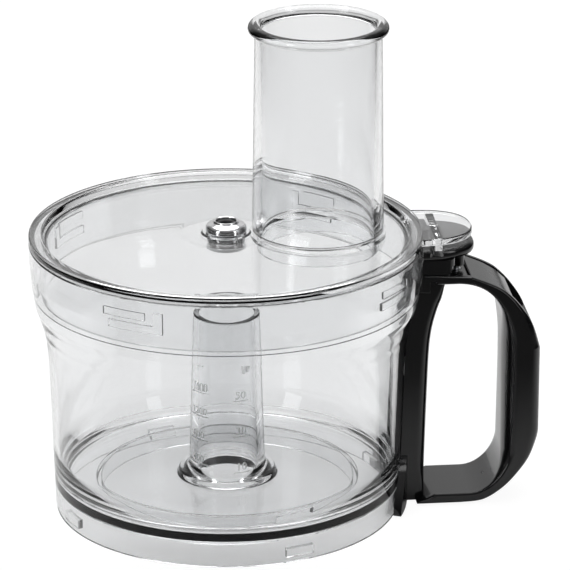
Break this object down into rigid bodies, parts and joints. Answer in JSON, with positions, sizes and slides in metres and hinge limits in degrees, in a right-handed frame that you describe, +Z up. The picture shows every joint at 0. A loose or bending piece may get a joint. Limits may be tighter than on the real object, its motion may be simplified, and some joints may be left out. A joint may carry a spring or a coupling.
{
  "type": "food processor bowl",
  "caption": "Clear food processor bowl with a hollow centre column, a twist-on clear lid with a round feed tube, and a black loop handle.",
  "frame": {"origin": "under the middle of the object's box, on the surface it stands on", "axes": "+Z up along the bowl's axis, towards the feed tube's mouth; +X from the bowl's axis towards the handle"},
  "size_m": [0.2256, 0.174, 0.222],
  "materials": {
    "clear_bowl": "clear, glossy, very slightly grey",
    "clear_lid": "clear, glossy",
    "black_handle": "moulded black, semi-gloss",
    "black_rod": "moulded black, satin",
    "black_insert": "satin black",
    "chrome": "polished",
    "steel": "zinc-plated steel"
  },
  "bodies": {
    "bowl": {"bowl": "clear_bowl", "handle_body": "black_handle", "grip_cover": "black_handle", "arm_infill": "black_handle", "thumb_rest": "black_handle", "rod_retainer": "black_rod", "handle_screw_lower_front": "steel", "handle_screw_lower_back": "steel", "handle_screw_upper_front": "steel", "handle_screw_upper_back": "steel", "thumb_rest_screw": "steel", "grip_cover_screw": "steel"},
    "bush": {"lid_bush": "chrome", "bush_insert": "black_insert", "bush_clip": "steel"},
    "lid": {"lid": "clear_lid", "feed_tube": "clear_lid"},
    "interlock": {"interlock_rod": "black_rod", "interlock_spring": "steel"}
  },
  "joints": [
    {"name": "lid_lift", "type": "slide", "parent": "bowl", "child": "bush", "axis": [0, 0, 1], "range_m": [0, 0.06]},
    {"name": "lid_twist", "type": "hinge", "parent": "bush", "child": "lid", "pos_m": [-0.0258, 0, 0.13], "axis": [0, 0, 1], "range_deg": [0, 24]},
    {"name": "interlock_press", "type": "slide", "parent": "bowl", "child": "interlock", "axis": [0, 0, 1], "range_m": [0, 0.0037], "deforming": ["interlock_spring"]}
  ],
  "couplings": [
    {"joint": "interlock_press", "follows": "lid_twist", "m_per_rad": 0.0085944}
  ]
}
